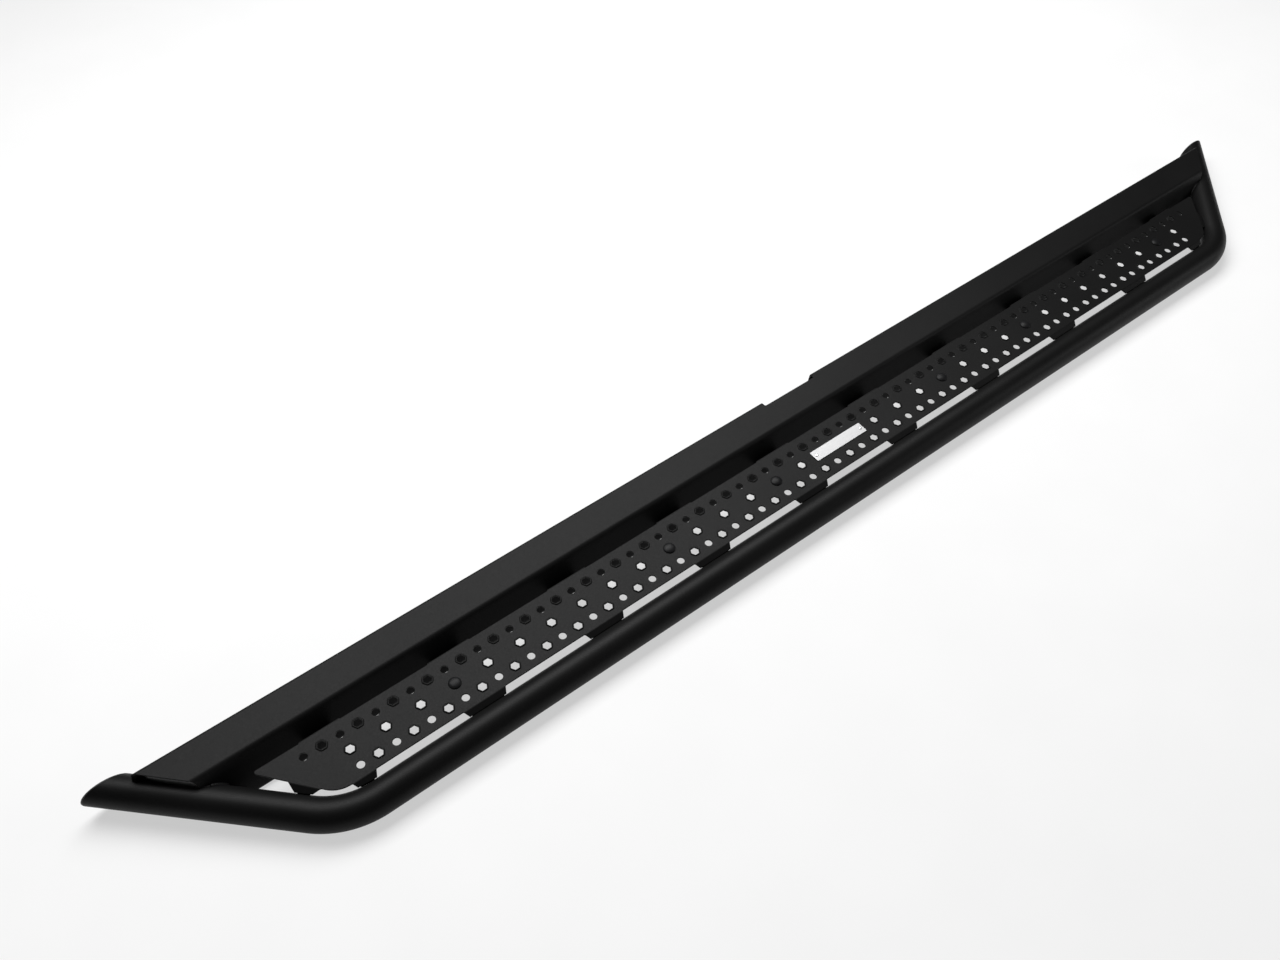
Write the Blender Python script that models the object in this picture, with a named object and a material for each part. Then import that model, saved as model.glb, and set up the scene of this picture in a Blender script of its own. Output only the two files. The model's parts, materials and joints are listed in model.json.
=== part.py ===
"""Running board for a pickup: bent outer tube, perforated step plate and folded rear channel.

The board is modelled with its step plate level: x runs along the vehicle, y towards the
vehicle, z up, with z = 0 on the plate's top and y = 0 on the outermost row of holes.
Everything hangs on one empty, which leans the whole board so that it lies as it does on a
floor, on the underside of the tube and the lower front fold of the channel.
"""

import math

import bmesh
import bpy
import numpy as np
from mathutils import Vector
from mathutils.geometry import delaunay_2d_cdt

MM = 0.001
GAP = 0.3 * MM                  # clearance between pieces that touch or are welded

# Pattern of holes
PITCH = 50.8 * MM               # large hole to large hole along a row
ROW_OUTER_Y = 0.0
ROW_MIDDLE_Y = 25.4 * MM
ROW_INNER_Y = 50.4 * MM
HEX_ACROSS_CORNERS = 12.8 * MM
ROUND_DIAMETER = 10.8 * MM
ROUND_SIDES = 10

# Step plate
SHEET = 2.5 * MM                # wall of the plate and of the channel
PLATE_FRONT_Y = -15.8 * MM
PLATE_REAR_Y = 69.1 * MM
PLATE_REAR_HALF_LENGTH = 950.0 * MM
PLATE_END_ANGLE = math.radians(49.5)
PLATE_CORNER_RADIUS = 38.0 * MM
TAB_PITCH = 190.75 * MM
TAB_FOLD = math.radians(30.0)
REAR_TAB_FOLD = math.radians(75.0)
TAB_WIDTH = 64.5 * MM
TAB_TAPER = 0.47                # loss of half width for each unit of length
FRONT_TABS_PER_SIDE = 4
FRONT_TAB_LENGTH = 10.3 * MM
END_TAB_X = 842.5 * MM
END_TAB_WIDTH = 34.0 * MM
END_TAB_LENGTHS = (10.3 * MM, 8.5 * MM)     # shorter where the tube starts to bend
SIDE_TAB_WIDTH = 43.0 * MM
SIDE_TAB_TAPER = 1.0
SIDE_TAB_Y = 17.0 * MM
SIDE_TAB_LENGTHS = (9.4 * MM, 11.6 * MM)    # the plate's end opens away from the tube
REAR_TABS_PER_SIDE = 4
REAR_TAB_LENGTH = 25.4 * MM      # down to the channel's web
LAST_REAR_TAB_X = 856.5 * MM
LAST_REAR_TAB_WIDTH = 58.0 * MM

# Outer tube, 1 3/4 in
TUBE_RADIUS = 22.225 * MM
TUBE_WALL = 2.6 * MM
TUBE_Y = -43.4 * MM
TUBE_Z = -17.9 * MM
TUBE_CORNER_X = 884.0 * MM      # where the straight runs would meet
TUBE_BEND_RADIUS = 112.0 * MM
TUBE_BEND_ANGLE = math.radians(44.7)
TUBE_DROP = math.atan(0.03)     # tilt of the bend's plane below the plate
TUBE_END_Y = 165.0 * MM
TUBE_SIDES = 32
TUBE_FACET = 2 * math.pi / TUBE_SIDES
BEND_STEPS = 6

# Rear channel
CHANNEL_TOP_Z = 14.2 * MM
CHANNEL_BOTTOM_Z = -48.5 * MM
CHANNEL_REAR_TOP_Y = 146.2 * MM
CHANNEL_REAR_BOTTOM_Y = 150.4 * MM
WEB_Y = 86.96 * MM              # front web where it crosses the plate's level
WEB_SLOPE = 0.4426              # y gained for each unit of z
FRONT_TOP_BEND = 7.6 * MM
REAR_TOP_BEND = 5.0 * MM
FRONT_BOTTOM_BEND = 5.0 * MM
REAR_BOTTOM_BEND = 4.0 * MM
FOLD_STEPS = 3
FOOT_TURN = math.radians(8.267)    # facet of the lower front fold that is level on the floor
CHANNEL_END_X = 919.0 * MM      # end plane: x = this + y - CHANNEL_END_RAKE * z
CHANNEL_END_RAKE = 0.12
COPE_CLEARANCE = 0.8 * MM
LIP_END_X = 1064.3 * MM         # the bottom fold stops short of the end plane
LIP_END_RAKE = 1.3
WINDOW_LOW_Z = -35.0 * MM
WINDOW_HIGH_Z = -7.9 * MM
WINDOW_START_X = 63.0 * MM
NOTCH_HALF_WIDTH = 51.3 * MM
NOTCH_Y = 137.2 * MM

# Bolt slots in the channel's bottom
SLOT_WIDTH = 7.0 * MM
SLOT_LENGTH = 70.0 * MM
SLOT_PITCH = 101.6 * MM
SLOTS_PER_SIDE = 9
SLOT_ROW_FRONT_Y = 113.8 * MM
SLOT_ROW_REAR_Y = 131.1 * MM
SLOT_FRONT_START_X = 121.9 * MM
SLOT_REAR_START_X = 172.7 * MM
CENTRE_SLOT_LENGTH = 105.6 * MM
SHORT_SLOT_LENGTH = 34.0 * MM
SHORT_SLOT_X = 82.8 * MM

# M10 carriage bolts and nuts, in holes of the middle row
BOLT_STEPS = (-13.5, -6.5, -2.5, 4.5, 8.5, 15.5)    # places along x, in hole pitches
BOLT_SHANK_RADIUS = 4.75 * MM
BOLT_HEAD_RADIUS = 8.75 * MM
BOLT_HEAD_HEIGHT = 3.1 * MM
BOLT_LENGTH = 14.0 * MM
BOLT_SIDES = 16
NUT_RADIUS = 9.2 * MM
NUT_HEIGHT = 8.0 * MM

# End plugs and their screws
PLUG_DEPTH = 45.0 * MM
PLUG_WALL = 3.0 * MM
PLUG_FACE = 2.0 * MM
SCREW_Y = 138.0 * MM            # where the screw's axis meets the tube's centre line
SCREW_ELEVATION = math.radians(16.4)
SCREW_SHANK_RADIUS = 2.5 * MM
SCREW_SHANK_LENGTH = 12.0 * MM
SCREW_FLANGE_RADIUS = 5.0 * MM
SCREW_FLANGE_HEIGHT = 1.2 * MM
SCREW_HEX_RADIUS = 4.4 * MM
SCREW_HEX_HEIGHT = 4.0 * MM

# Badge
BADGE_LENGTH = 102.6 * MM
BADGE_WIDTH = 18.8 * MM
BADGE_THICKNESS = 1.0 * MM
BADGE_CENTRE = (0.0, 25.3 * MM)
BADGE_CORNER = 1.5 * MM
RIVET_X = 45.5 * MM
RIVET_RADIUS = 1.5 * MM
RIVET_HEAD_RADIUS = 2.6 * MM
RIVET_HEAD_HEIGHT = 1.1 * MM
RIVET_SIDES = 12

for leftover in list(bpy.data.objects):
    bpy.data.objects.remove(leftover)

board = bpy.data.objects.new("board", None)
bpy.context.collection.objects.link(board)


# Materials

def make_material(name, colour, roughness, metallic):
    material = bpy.data.materials.new(name)
    material.use_nodes = True
    shader = material.node_tree.nodes["Principled BSDF"]
    shader.inputs["Base Color"].default_value = (*colour, 1.0)
    shader.inputs["Roughness"].default_value = roughness
    shader.inputs["Metallic"].default_value = metallic
    return material


TUBE_COAT = make_material("tube_powder_coat", (0.022, 0.022, 0.022), 0.5, 0.0)
PLATE_COAT = make_material("plate_powder_coat", (0.024, 0.024, 0.024), 0.5, 0.0)
CHANNEL_COAT = make_material("channel_powder_coat", (0.022, 0.022, 0.022), 0.5, 0.0)
BOLT_BLACK = make_material("bolt_black_zinc", (0.025, 0.025, 0.026), 0.45, 0.0)
PLUG_PLASTIC = make_material("plug_plastic", (0.018, 0.018, 0.018), 0.6, 0.0)
ZINC = make_material("zinc_plate", (0.72, 0.73, 0.74), 0.25, 1.0)
BRUSHED = make_material("brushed_aluminium", (0.86, 0.86, 0.87), 0.35, 1.0)


# Mesh helpers

def add_object(name, bm, material, sharp_angle=35.0):
    """Closes a bmesh into a named object under the board's empty."""
    bmesh.ops.recalc_face_normals(bm, faces=bm.faces)
    mesh = bpy.data.meshes.new(name)
    bm.to_mesh(mesh)
    bm.free()
    mesh.materials.append(material)
    mesh.shade_smooth()
    mesh.set_sharp_from_angle(angle=math.radians(sharp_angle))
    obj = bpy.data.objects.new(name, mesh)
    bpy.context.collection.objects.link(obj)
    obj.parent = board
    return obj


def add_cutter(name, bm, targets):
    """Makes a hidden cutter and takes it away from each target."""
    cutter = add_object(name, bm, ZINC)
    cutter.hide_render = True
    cutter.display_type = "WIRE"
    for target in targets:
        modifier = target.modifiers.new(name, "BOOLEAN")
        modifier.operation = "DIFFERENCE"
        modifier.solver = "EXACT"
        modifier.object = cutter


def loft(bm, rings, close_ends=True):
    """Skins rings of equal count into bm, one after the other."""
    layers = [[bm.verts.new(point) for point in ring] for ring in rings]
    count = len(layers[0])
    for low, high in zip(layers, layers[1:]):
        for i in range(count):
            j = (i + 1) % count
            bm.faces.new((low[i], low[j], high[j], high[i]))
    if close_ends:
        bm.faces.new(layers[0][::-1])
        bm.faces.new(layers[-1])
    return layers


def prism(bm, outline, low_x, high_x):
    """A closed outline of (y, z) points, extruded along x."""
    loft(bm, [[(x, y, z) for y, z in outline] for x in (low_x, high_x)])


def box(bm, low, high):
    outline = [(low[1], low[2]), (high[1], low[2]), (high[1], high[2]), (low[1], high[2])]
    prism(bm, outline, low[0], high[0])


def polygon(centre, radius, sides, turn=0.0):
    """Corners of a regular polygon, the first one at angle turn from +x."""
    angles = [turn + 2 * math.pi * i / sides for i in range(sides)]
    return [(centre[0] + radius * math.cos(a), centre[1] + radius * math.sin(a)) for a in angles]


def fillet(before, corner, after, radius, steps, last_turn=0.0):
    """Points of the arc that rounds a corner between two straight edges. With last_turn, one
    more facet ends the arc, and turns by that angle."""
    corner = Vector(corner)
    to_before = (Vector(before) - corner).normalized()
    to_after = (Vector(after) - corner).normalized()
    half = to_before.angle(to_after) / 2
    centre = corner + (to_before + to_after).normalized() * radius / math.sin(half)
    start = (corner + to_before * radius / math.tan(half) - centre).normalized()
    end = (corner + to_after * radius / math.tan(half) - centre).normalized()
    share = 1 - last_turn / (math.pi - 2 * half)
    stops = [share * i / steps for i in range(steps + 1)]
    if last_turn:
        stops.append(1.0)
    return [tuple(centre + start.slerp(end, stop) * radius) for stop in stops]


def even_odd(points, loops):
    """True for each point that lies inside an odd number of the loops."""
    inside = np.zeros(len(points), bool)
    for loop in loops:
        corners = np.array(loop)
        for (ax, ay), (bx, by) in zip(corners, np.roll(corners, -1, 0)):
            crosses = (ay > points[:, 1]) != (by > points[:, 1])
            if crosses.any():
                reach = ax + (points[:, 1] - ay) * (bx - ax) / (by - ay)
                inside ^= crosses & (points[:, 0] < reach)
    return inside


def sheet(outline, holes, creases, thickness):
    """A flat sheet with its top at z = 0. Creases are lines that its faces may not cross."""
    loops = [outline, *holes]
    points = []
    edges = []
    for loop in loops:
        first = len(points)
        points += loop
        edges += [(first + i, first + (i + 1) % len(loop)) for i in range(len(loop))]
    for crease in creases:
        edges.append((len(points), len(points) + 1))
        points += crease
    flat = delaunay_2d_cdt([Vector(p) for p in points], edges, [], 1, 1e-7)
    corners = np.array([tuple(v) for v in flat[0]])
    faces = np.array(flat[2])
    kept = faces[even_odd(corners[faces].mean(1), loops)]
    bm = bmesh.new()
    top = [bm.verts.new((x, y, 0.0)) for x, y in corners]
    bottom = [bm.verts.new((x, y, -thickness)) for x, y in corners]
    for a, b, c in kept:
        bm.faces.new((top[a], top[b], top[c]))
        bm.faces.new((bottom[c], bottom[b], bottom[a]))
    lower = dict(zip(top, bottom))
    rim = [edge.verts for edge in bm.edges if edge.is_boundary and edge.verts[0] in lower]
    for a, b in rim:
        bm.faces.new((a, b, lower[b], lower[a]))
    return bm


# Step plate

class Tab:
    """A tapered tab on an edge of the plate: root centre, outward direction, width and the
    lengths of its two sides, in counter-clockwise order round the plate."""

    def __init__(self, root, outward, width, lengths, taper=TAB_TAPER, angle=TAB_FOLD):
        self.root = Vector(root)
        self.outward = Vector(outward).normalized()
        self.along = Vector((-self.outward.y, self.outward.x))
        self.half = width / 2
        self.lengths = lengths
        self.taper = taper
        self.angle = angle

    def point(self, side, out):
        half = self.half - self.taper * out
        return tuple(self.root + self.along * side * half + self.outward * out)

    def outline(self):
        """Counter-clockwise round the plate: root, tip, tip, root."""
        first, second = self.lengths
        return [self.point(-1, 0), self.point(-1, first), self.point(1, second), self.point(1, 0)]

    def crease(self):
        return self.point(-1, 0), self.point(1, 0)

    def fold(self, vertex):
        """Turns a vertex of the flat sheet down about the crease, with a mitred inside."""
        place = Vector(vertex.co[:2]) - self.root
        out = place.dot(self.outward)
        across = abs(place.dot(self.along))
        if out < -1e-6 or across > self.half + 1e-6 or out > max(self.lengths) + 1e-6:
            return
        depth = -vertex.co.z
        if out < 1e-6:
            shift = -depth * math.tan(self.angle / 2)
            drop = depth
        else:
            shift = out * math.cos(self.angle) - depth * math.sin(self.angle) - out
            drop = out * math.sin(self.angle) + depth * math.cos(self.angle)
        vertex.co.x += self.outward.x * shift
        vertex.co.y += self.outward.y * shift
        vertex.co.z = -drop


def plate_tabs():
    """The tabs of the plate's +x half, in order round its outline from the front middle."""
    edge = Vector((math.cos(PLATE_END_ANGLE), math.sin(PLATE_END_ANGLE)))
    rear_corner = Vector((PLATE_REAR_HALF_LENGTH, PLATE_REAR_Y))
    side_root = rear_corner - edge * (PLATE_REAR_Y - SIDE_TAB_Y) / edge.y
    front_lengths = (FRONT_TAB_LENGTH, FRONT_TAB_LENGTH)
    rear_lengths = (REAR_TAB_LENGTH, REAR_TAB_LENGTH)
    front = [Tab(((k + 0.5) * TAB_PITCH, PLATE_FRONT_Y), (0, -1), TAB_WIDTH, front_lengths)
             for k in range(FRONT_TABS_PER_SIDE)]
    front.append(Tab((END_TAB_X, PLATE_FRONT_Y), (0, -1), END_TAB_WIDTH, END_TAB_LENGTHS))
    side = Tab(side_root, (edge.y, -edge.x), SIDE_TAB_WIDTH, SIDE_TAB_LENGTHS,
               SIDE_TAB_TAPER)
    rear_places = [(LAST_REAR_TAB_X, LAST_REAR_TAB_WIDTH)]
    rear_places += [((k + 0.5) * TAB_PITCH, TAB_WIDTH) for k in reversed(range(REAR_TABS_PER_SIDE))]
    rear = [Tab((x, PLATE_REAR_Y), (0, 1), width, rear_lengths, angle=REAR_TAB_FOLD)
            for x, width in rear_places]
    return front, side, rear


def mirrored(tab):
    return Tab((-tab.root.x, tab.root.y), (-tab.outward.x, tab.outward.y), 2 * tab.half,
               tab.lengths[::-1], tab.taper, tab.angle)


def half_outline(front, side, rear):
    """Outline of the +x half, from the front middle to the rear middle."""
    rear_corner = (PLATE_REAR_HALF_LENGTH, PLATE_REAR_Y)
    run = (PLATE_REAR_Y - PLATE_FRONT_Y) / math.tan(PLATE_END_ANGLE)
    front_corner = (PLATE_REAR_HALF_LENGTH - run, PLATE_FRONT_Y)
    points = []
    for tab in front:
        points += tab.outline()
    points += fillet((0, PLATE_FRONT_Y), front_corner, rear_corner, PLATE_CORNER_RADIUS, 5)
    points += side.outline()
    points.append(rear_corner)
    for tab in rear:
        points += tab.outline()
    return points


def hole_loops():
    """Hexagonal and round holes of the three rows, and the two rivet holes."""
    hexagon = HEX_ACROSS_CORNERS / 2
    disc = ROUND_DIAMETER / 2
    large = [(k, ROW_OUTER_Y) for k in range(-16, 17)]
    large += [(k + 0.5, ROW_MIDDLE_Y) for k in range(-17, 17)
              if abs(k + 0.5) > 1 and k + 0.5 not in BOLT_STEPS]
    large += [(k, ROW_INNER_Y) for k in range(-17, 18)]
    small = [(k, ROW_MIDDLE_Y) for k in BOLT_STEPS]
    small += [(k + 0.5, ROW_OUTER_Y) for k in range(-17, 17)]
    small += [(k + 0.5, ROW_INNER_Y) for k in range(-18, 18)]
    loops = [polygon((k * PITCH, y), hexagon, 6) for k, y in large]
    loops += [polygon((k * PITCH, y), disc, ROUND_SIDES) for k, y in small]
    for x in (-RIVET_X, RIVET_X):
        loops.append(polygon((x, BADGE_CENTRE[1]), RIVET_RADIUS + GAP, RIVET_SIDES))
    return loops


def make_step_plate():
    front, side, rear = plate_tabs()
    right = half_outline(front, side, rear)
    left = [(-x, y) for x, y in reversed(right)]
    tabs = [*front, side, *rear]
    tabs += [mirrored(tab) for tab in tabs]
    creases = [tab.crease() for tab in tabs]
    bm = sheet(right + left, hole_loops(), creases, SHEET)
    for vertex in bm.verts:
        for tab in tabs:
            tab.fold(vertex)
    return add_object("step_plate", bm, PLATE_COAT)


# Outer tube, its plugs and screws

def lean_angle():
    """Lean that lays one facet of the tube and one of the channel's front fold on one level."""
    bend = FRONT_BOTTOM_BEND
    fold_z = CHANNEL_BOTTOM_Z + bend
    fold_y = WEB_Y + WEB_SLOPE * fold_z + bend * math.hypot(1, WEB_SLOPE)
    across = fold_y - TUBE_Y
    down = TUBE_Z - fold_z
    drop = TUBE_RADIUS * math.cos(TUBE_FACET / 2) - bend * math.cos(FOOT_TURN / 2)
    return math.acos(drop / math.hypot(across, down)) - math.atan2(across, down)


def tube_path(side):
    """Centres and directions from the middle of the board to the bend's far end."""
    tangent = TUBE_BEND_RADIUS * math.tan(TUBE_BEND_ANGLE / 2)
    start_x = TUBE_CORNER_X - tangent
    inward = Vector((0, math.cos(TUBE_DROP), -math.sin(TUBE_DROP)))
    stations = []
    for i in range(BEND_STEPS + 1):
        angle = TUBE_BEND_ANGLE * i / BEND_STEPS
        centre = Vector((start_x + TUBE_BEND_RADIUS * math.sin(angle), TUBE_Y, TUBE_Z))
        centre += inward * TUBE_BEND_RADIUS * (1 - math.cos(angle))
        direction = Vector((math.cos(angle), 0, 0)) + inward * math.sin(angle)
        stations.append((Vector((side * centre.x, centre.y, centre.z)),
                         Vector((side * direction.x, direction.y, direction.z))))
    return stations


PLANE_NORMAL = Vector((0, math.sin(TUBE_DROP), math.cos(TUBE_DROP)))
RING_TURN = TUBE_FACET / 2 - math.pi / 2 + TUBE_DROP - lean_angle()     # one facet faces down


def tube_ring(centre, direction, radius, end_y=None):
    """A ring square to the tube, or slid along it to the plane y = end_y."""
    across = PLANE_NORMAL.cross(direction)
    if direction.x < 0:
        across = -across
    ring = []
    for i in range(TUBE_SIDES):
        angle = RING_TURN + TUBE_FACET * i
        point = centre + (across * math.cos(angle) + PLANE_NORMAL * math.sin(angle)) * radius
        if end_y is not None:
            point += direction * (end_y - point.y) / direction.y
        ring.append(point)
    return ring


def tube_rings(radius):
    right = tube_path(1)
    left = tube_path(-1)
    rings = [tube_ring(*left[-1], radius, TUBE_END_Y)]
    rings += [tube_ring(*station, radius) for station in [*left[::-1], *right]]
    rings.append(tube_ring(*right[-1], radius, TUBE_END_Y))
    return rings


def make_tube():
    bm = bmesh.new()
    outer = loft(bm, tube_rings(TUBE_RADIUS), close_ends=False)
    inner = loft(bm, tube_rings(TUBE_RADIUS - TUBE_WALL), close_ends=False)
    for a, b in ((outer[0], inner[0]), (outer[-1], inner[-1])):
        for i in range(TUBE_SIDES):
            j = (i + 1) % TUBE_SIDES
            bm.faces.new((a[i], a[j], b[j], b[i]))
    return add_object("outer_tube", bm, TUBE_COAT)


def make_plug(name, side):
    """A cup that slides into the tube, with a face that covers the cut end."""
    centre, direction = tube_path(side)[-1]
    bore = TUBE_RADIUS - TUBE_WALL - GAP
    seat = TUBE_END_Y + GAP
    profile = [(TUBE_RADIUS, seat + PLUG_FACE), (TUBE_RADIUS, seat), (bore, seat),
               (bore, seat - PLUG_DEPTH), (bore - PLUG_WALL, seat - PLUG_DEPTH),
               (bore - PLUG_WALL, seat - PLUG_WALL)]
    bm = bmesh.new()
    loft(bm, [tube_ring(centre, direction, radius, y) for radius, y in profile])
    return add_object(name, bm, PLUG_PLASTIC)


def screw_axis(side):
    """Where the screw's axis starts on the tube's centre line, and its outward direction."""
    centre, direction = tube_path(side)[-1]
    start = centre + direction * (SCREW_Y - centre.y) / direction.y
    flank = direction.cross(PLANE_NORMAL) * -side
    outward = flank * math.cos(SCREW_ELEVATION) + PLANE_NORMAL * math.sin(SCREW_ELEVATION)
    return start, outward


def turned(bm, start, axis, profile, sides):
    """Rings of (radius, height) pairs about an axis, closed at both ends."""
    turn = Vector((0, 0, 1)).rotation_difference(axis)
    rings = []
    for radius, height in profile:
        ring = [Vector((x, y, height)) for x, y in polygon((0, 0), radius, sides)]
        rings.append([start + turn @ point for point in ring])
    loft(bm, rings)


def make_screw(name, side):
    """Hexagon-headed flange screw, seated on the tube's inner flank."""
    start, outward = screw_axis(side)
    seat = TUBE_RADIUS + GAP
    flange_top = seat + SCREW_FLANGE_HEIGHT
    profile = [(SCREW_SHANK_RADIUS, seat - SCREW_SHANK_LENGTH), (SCREW_SHANK_RADIUS, seat),
               (SCREW_FLANGE_RADIUS, seat), (SCREW_FLANGE_RADIUS, seat + 0.6 * MM),
               (SCREW_HEX_RADIUS, flange_top), (SCREW_HEX_RADIUS, flange_top + SCREW_HEX_HEIGHT)]
    bm = bmesh.new()
    turned(bm, start, outward, profile, 12)
    return add_object(name, bm, ZINC)


def add_screw_hole(name, side, targets):
    start, outward = screw_axis(side)
    bm = bmesh.new()
    radius = SCREW_SHANK_RADIUS + GAP
    turned(bm, start, outward, [(radius, TUBE_RADIUS / 2), (radius, 2 * TUBE_RADIUS)], 12)
    add_cutter(name, bm, targets)


# Rear channel

def channel_corners(inset):
    """Corners of the section, moved in by inset: rear top, front top, front and rear bottom."""
    top = CHANNEL_TOP_Z - inset
    bottom = CHANNEL_BOTTOM_Z + inset
    web_shift = inset * math.hypot(1, WEB_SLOPE)
    rear_slope = ((CHANNEL_REAR_TOP_Y - CHANNEL_REAR_BOTTOM_Y)
                  / (CHANNEL_TOP_Z - CHANNEL_BOTTOM_Z))
    rear_shift = inset * math.hypot(1, rear_slope)

    def web_y(z):
        return WEB_Y + WEB_SLOPE * z + web_shift

    def rear_y(z):
        return CHANNEL_REAR_TOP_Y + rear_slope * (z - CHANNEL_TOP_Z) - rear_shift

    return [(rear_y(top), top), (web_y(top), top), (web_y(bottom), bottom), (rear_y(bottom), bottom)]


def channel_loop(inset):
    """The section's outline, with its four folds rounded."""
    bends = [(REAR_TOP_BEND, 0.0), (FRONT_TOP_BEND, 0.0), (FRONT_BOTTOM_BEND, FOOT_TURN),
             (REAR_BOTTOM_BEND, 0.0)]
    corners = channel_corners(inset)
    loop = []
    for i, (bend, last_turn) in enumerate(bends):
        loop += fillet(corners[i - 1], corners[i], corners[(i + 1) % 4], bend - inset,
                       FOLD_STEPS, last_turn)
    return loop


def end_cutter(bm, side):
    """A block beyond the raked end plane of the channel."""
    def end_x(y, z):
        return CHANNEL_END_X + y - CHANNEL_END_RAKE * z

    far_x = 1.3 * CHANNEL_END_X
    corners = [(50 * MM, -70 * MM), (190 * MM, -70 * MM), (190 * MM, 40 * MM), (50 * MM, 40 * MM)]
    near = [(side * end_x(y, z), y, z) for y, z in corners]
    far = [(side * far_x, y, z) for y, z in corners]
    loft(bm, [near, far])


def lip_cutter(bm, side):
    """A block that rakes back the end of the bottom fold and its lip."""
    top_z = WINDOW_LOW_Z + 4 * MM
    low_z = CHANNEL_BOTTOM_Z - 2 * SHEET
    top_x = LIP_END_X - LIP_END_RAKE * (top_z - CHANNEL_BOTTOM_Z)
    far_x = 1.2 * CHANNEL_END_X
    outline = [(LIP_END_X, low_z), (far_x, low_z), (far_x, top_z), (top_x, top_z),
               (LIP_END_X, CHANNEL_BOTTOM_Z)]
    layers = (CHANNEL_REAR_TOP_Y - SHEET, CHANNEL_REAR_BOTTOM_Y + SHEET)
    loft(bm, [[(side * x, y, z) for x, z in outline] for y in layers])


def tube_cutter(bm, side):
    """The tube's raked run with clearance, for coping the channel's end."""
    centre, direction = tube_path(side)[-1]
    radius = TUBE_RADIUS + COPE_CLEARANCE
    ends = [centre, centre + direction * 2 * (TUBE_END_Y - TUBE_Y)]
    loft(bm, [tube_ring(end, direction, radius) for end in ends])


def slot(bm, x, y, length):
    """A round-ended cutter through the channel's bottom."""
    radius = SLOT_WIDTH / 2
    reach = length / 2 - radius
    outline = []
    for end, turn in ((reach, -math.pi / 2), (-reach, math.pi / 2)):
        for i in range(5):
            angle = turn + math.pi * i / 4
            outline.append((x + end + radius * math.cos(angle), y + radius * math.sin(angle)))
    low, high = CHANNEL_BOTTOM_Z - SHEET, CHANNEL_BOTTOM_Z + 2 * SHEET
    loft(bm, [[(px, py, z) for px, py in outline] for z in (low, high)])


def make_channel():
    bm = bmesh.new()
    length = CHANNEL_END_X + CHANNEL_REAR_BOTTOM_Y + 10 * MM
    outer, inner = (
        loft(bm, [[(x, y, z) for y, z in channel_loop(inset)] for x in (-length, length)], False)
        for inset in (0.0, SHEET))
    for a, b in ((outer[0], inner[0]), (outer[1], inner[1])):
        for i in range(len(a)):
            j = (i + 1) % len(a)
            bm.faces.new((a[i], a[j], b[j], b[i]))
    channel = add_object("rear_channel", bm, CHANNEL_COAT)

    ends = bmesh.new()
    lips = bmesh.new()
    copes = bmesh.new()
    windows = bmesh.new()
    slots = bmesh.new()
    window_front_y = CHANNEL_REAR_TOP_Y - 3 * SHEET
    window_rear_y = CHANNEL_REAR_BOTTOM_Y + SHEET
    for side in (-1, 1):
        end_cutter(ends, side)
        lip_cutter(lips, side)
        tube_cutter(copes, side)
        span = sorted((side * WINDOW_START_X, side * 1.2 * length))
        box(windows, (span[0], window_front_y, WINDOW_LOW_Z), (span[1], window_rear_y, WINDOW_HIGH_Z))
        for k in range(SLOTS_PER_SIDE):
            slot(slots, side * (SLOT_FRONT_START_X + k * SLOT_PITCH), SLOT_ROW_FRONT_Y, SLOT_LENGTH)
            slot(slots, side * (SLOT_REAR_START_X + k * SLOT_PITCH), SLOT_ROW_REAR_Y, SLOT_LENGTH)
        slot(slots, side * SHORT_SLOT_X, SLOT_ROW_REAR_Y, SHORT_SLOT_LENGTH)
    slot(slots, 0.0, SLOT_ROW_FRONT_Y, CENTRE_SLOT_LENGTH)
    box(windows, (-NOTCH_HALF_WIDTH, NOTCH_Y, 2 * CHANNEL_BOTTOM_Z),
        (NOTCH_HALF_WIDTH, window_rear_y, 2 * CHANNEL_TOP_Z))
    for name, cutter in (("channel_end_cut", ends), ("channel_lip_cut", lips),
                         ("channel_cope", copes), ("channel_windows", windows),
                         ("channel_slots", slots)):
        add_cutter(name, cutter, [channel])
    return channel


# Bolts and nuts of the step plate

def make_bolt(name, x):
    """Low domed head, seated on the plate, and a plain shank."""
    head = [(BOLT_HEAD_RADIUS * math.cos(a), GAP + BOLT_HEAD_HEIGHT * math.sin(a))
            for a in (0, math.radians(25), math.radians(45), math.radians(62), math.radians(80))]
    profile = [(BOLT_SHANK_RADIUS, -BOLT_LENGTH), (BOLT_SHANK_RADIUS, GAP), *head]
    bm = bmesh.new()
    turned(bm, Vector((x, ROW_MIDDLE_Y, 0)), Vector((0, 0, 1)), profile, BOLT_SIDES)
    return add_object(name, bm, BOLT_BLACK)


def make_nut(name, x):
    """Hexagon nut under the plate, clear of the bolt's shank."""
    top = -SHEET - GAP
    bore = BOLT_SHANK_RADIUS + 2 * GAP
    sides = 12
    outer = []
    for px, py in polygon((0, 0), 1.0, sides):
        within = (math.atan2(py, px) % (math.pi / 3)) - math.pi / 6
        reach = NUT_RADIUS * math.cos(math.pi / 6) / math.cos(within)
        outer.append((px * reach, py * reach))
    inner = polygon((0, 0), bore, sides)
    loops = [(outer, top), (outer, top - NUT_HEIGHT), (inner, top - NUT_HEIGHT), (inner, top)]
    bm = bmesh.new()
    layers = loft(bm, [[(x + px, ROW_MIDDLE_Y + py, z) for px, py in loop] for loop, z in loops],
                  close_ends=False)
    for i in range(sides):
        j = (i + 1) % sides
        bm.faces.new((layers[-1][i], layers[-1][j], layers[0][j], layers[0][i]))
    return add_object(name, bm, BOLT_BLACK)


# Badge

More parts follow.
